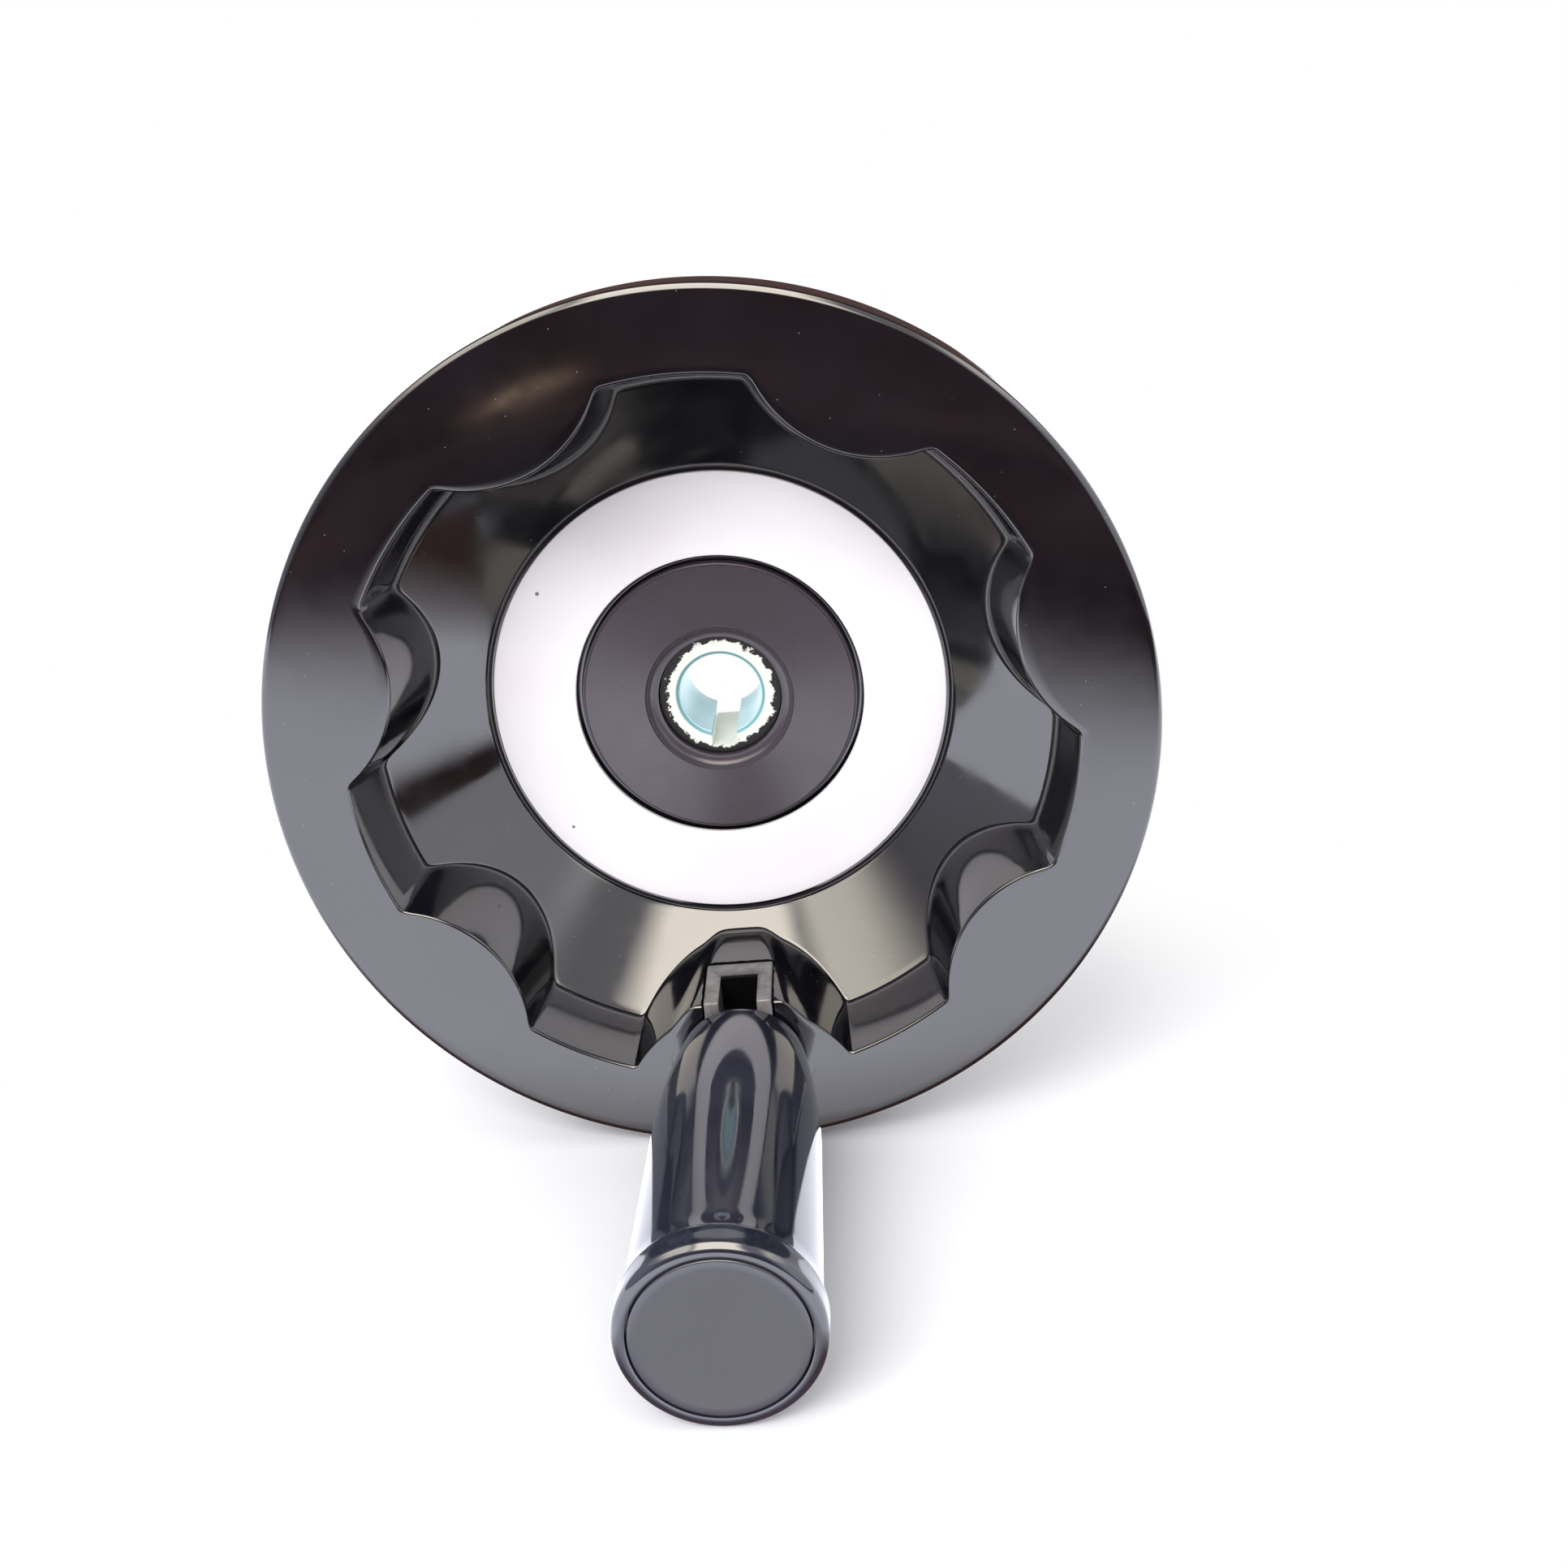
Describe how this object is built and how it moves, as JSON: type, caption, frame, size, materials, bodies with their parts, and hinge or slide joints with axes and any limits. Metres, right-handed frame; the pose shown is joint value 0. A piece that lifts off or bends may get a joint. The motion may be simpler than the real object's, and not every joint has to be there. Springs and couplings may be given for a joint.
{
  "type": "machine handwheel",
  "caption": "Dished black handwheel with a wave inside its rim, a bright ring round the keyed hub, and a revolving handle that folds into the dish.",
  "frame": {"origin": "centre of the hub's back face, on the bore's axis", "axes": "+Y along the bore towards the shaft's side, so the rim's face looks to -Y; the handle stands on -Z and points to -Y; +X to the right as seen from the front"},
  "size_m": [0.16, 0.1374, 0.16],
  "materials": {
    "phenolic": "gloss",
    "satin_aluminium": "satin",
    "bright_steel": "machined",
    "dark_metal": "satin",
    "spring_steel": "satin",
    "cap_plastic": "satin"
  },
  "bodies": {
    "wheel": {"wheel_body": "phenolic", "trim_ring": "satin_aluminium", "hub_bush": "bright_steel", "hinge_fork": "dark_metal", "hinge_pin": "bright_steel"},
    "spindle": {"spindle": "bright_steel", "spindle_washer": "bright_steel", "spindle_nut": "bright_steel", "return_spring": "spring_steel"},
    "sleeve": {"bearing_sleeve": "bright_steel", "sleeve_clip": "spring_steel"},
    "grip": {"grip": "phenolic", "end_cap": "cap_plastic"}
  },
  "joints": [
    {"name": "handle_fold", "type": "hinge", "parent": "wheel", "child": "spindle", "pos_m": [0, -0.0495, -0.0626], "axis": [-1, 0, 0], "range_deg": [0, 90]},
    {"name": "grip_pull", "type": "slide", "parent": "spindle", "child": "sleeve", "axis": [0, -1, 0], "range_m": [0, 0.019], "deforming": ["return_spring"]},
    {"name": "grip_spin", "type": "hinge", "parent": "sleeve", "child": "grip", "pos_m": [0, -0.1, -0.0626], "axis": [0, -1, 0], "continuous": true}
  ],
  "couplings": [
    {"joint": "grip_pull", "follows": "handle_fold", "m_per_rad": 0.012}
  ]
}
